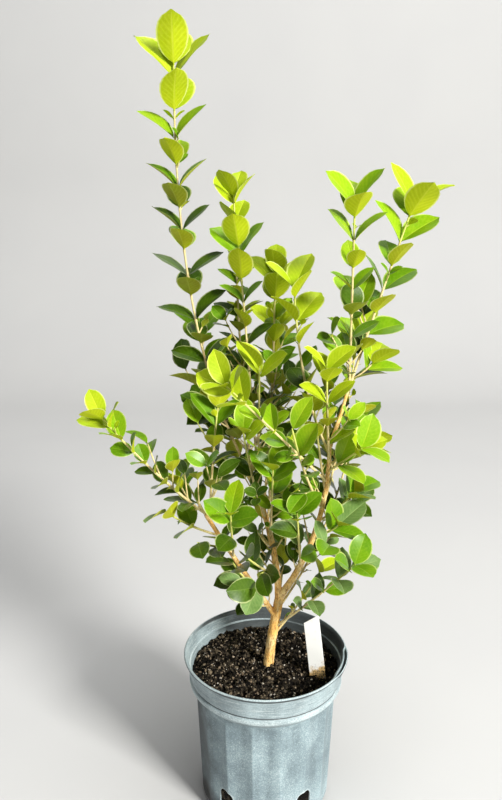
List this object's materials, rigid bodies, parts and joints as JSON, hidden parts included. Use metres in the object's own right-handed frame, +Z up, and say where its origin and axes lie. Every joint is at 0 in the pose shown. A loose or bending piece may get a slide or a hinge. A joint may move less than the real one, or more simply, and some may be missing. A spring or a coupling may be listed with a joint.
{
  "type": "potted star cherry",
  "caption": "Young star cherry shrub with several leafy upright shoots on a forked trunk, growing in a ribbed nursery pot with a blank plant label.",
  "frame": {"origin": "middle of the pot's flat underside", "axes": "+Z up, the plant's front as pictured towards -Y, +X to the picture's right"},
  "size_m": [0.3344, 0.2554, 0.7552],
  "materials": {
    "pot_plastic": "weathered moulded plastic, scuffed",
    "potting_mix": "damp dark potting mix with pale grit",
    "label_plastic": "plain white plastic, soiled at the foot",
    "bark": "tan flaky bark",
    "foliage": "glossy leaves, yellow-green at the tips and dark below"
  },
  "bodies": {
    "root": {"centre_front_foliage": "foliage", "centre_spire_foliage": "foliage", "far_right_foliage": "foliage", "front_shoot_foliage": "foliage", "inner_front_foliage": "foliage", "inner_low_foliage": "foliage", "inner_middle_foliage": "foliage", "inner_right_foliage": "foliage", "leader_foliage": "foliage", "left_arm_foliage": "foliage", "left_bough": "bark", "left_front_low_foliage": "foliage", "left_hanging_foliage": "foliage", "left_inner_spire_foliage": "foliage", "left_low_foliage": "foliage", "left_low_twig_foliage": "foliage", "left_mid_foliage": "foliage", "left_outer_low_foliage": "foliage", "left_spire_foliage": "foliage", "left_upright_foliage": "foliage", "low_centre_foliage": "foliage", "low_front_right_foliage": "foliage", "low_right_foliage": "foliage", "middle_bough": "bark", "middle_low_twig_foliage": "foliage", "middle_spire_foliage": "foliage", "plant_label": "label_plastic", "pot": "pot_plastic", "rear_foliage": "foliage", "rear_left_foliage": "foliage", "rear_left_low_foliage": "foliage", "rear_low_foliage": "foliage", "rear_right_foliage": "foliage", "rear_right_low_foliage": "foliage", "right_bough": "bark", "right_inner_spire_foliage": "foliage", "right_low_outer_foliage": "foliage", "right_low_twig_foliage": "foliage", "right_middle_foliage": "foliage", "right_outer_spire_foliage": "foliage", "right_side_foliage": "foliage", "soil": "potting_mix", "top_inner_foliage": "foliage", "trunk": "bark", "upper_inner_foliage": "foliage", "upper_right_bough": "bark"}
  },
  "joints": []
}
